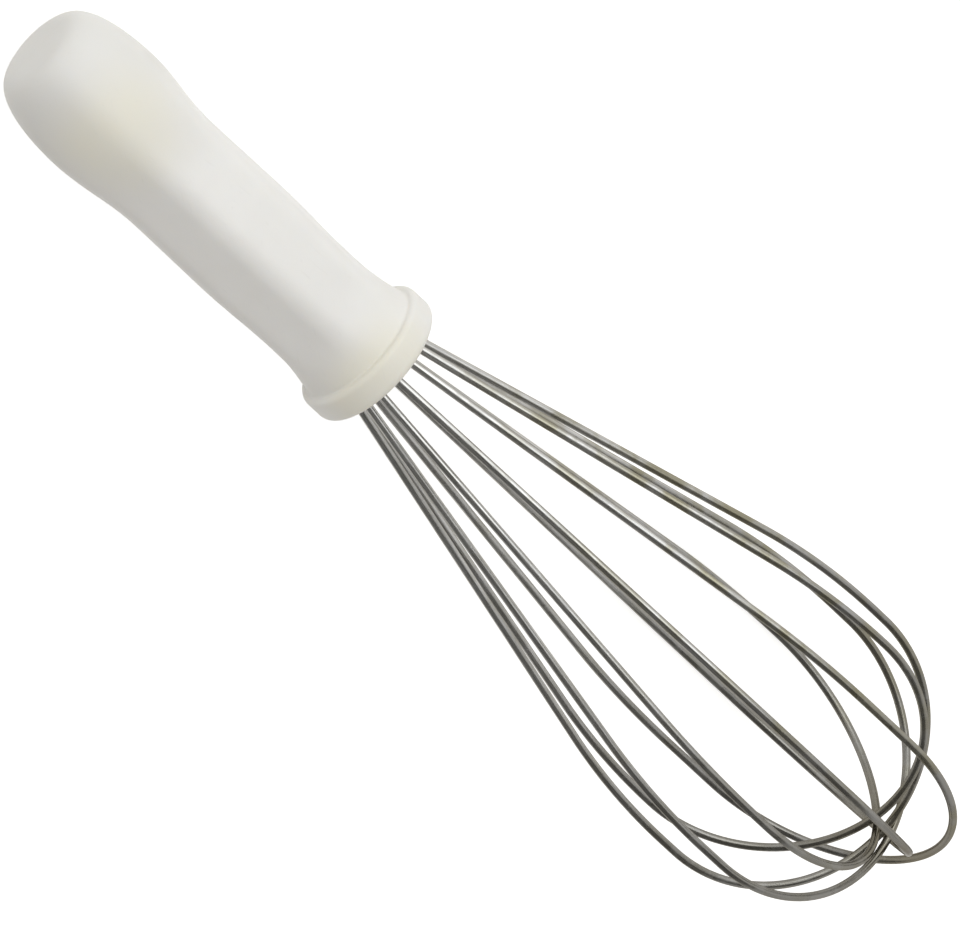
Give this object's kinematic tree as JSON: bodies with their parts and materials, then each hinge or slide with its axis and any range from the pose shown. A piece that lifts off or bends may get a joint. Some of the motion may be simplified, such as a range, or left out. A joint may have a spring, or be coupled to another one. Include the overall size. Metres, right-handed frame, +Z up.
{
  "type": "balloon whisk",
  "caption": "Kitchen balloon whisk: nested steel wire loops sealed into a moulded white plastic handle with a bulb at the butt and a collar at the wires.",
  "frame": {"origin": "on the surface that the whisk lies on, below the middle of its bounding box", "axes": "+X from the butt towards the tip of the balloon, +Z up from the surface; the whisk's own axis climbs 4.959 degrees towards +X, because the whisk lies on two wires and on the bulb of its handle"},
  "size_m": [0.2536, 0.0616, 0.0625],
  "materials": {
    "handle_plastic": "satin white, slightly translucent",
    "core_plastic": "matt",
    "seal_resin": "satin",
    "wire_steel": "drawn and polished"
  },
  "bodies": {
    "root": {"handle": "handle_plastic", "wire_core": "core_plastic", "mouth_seal": "seal_resin", "wire_loop_1": "wire_steel", "wire_loop_2": "wire_steel", "wire_loop_3": "wire_steel", "wire_loop_4": "wire_steel", "wire_loop_5": "wire_steel", "wire_loop_6": "wire_steel"}
  },
  "joints": []
}
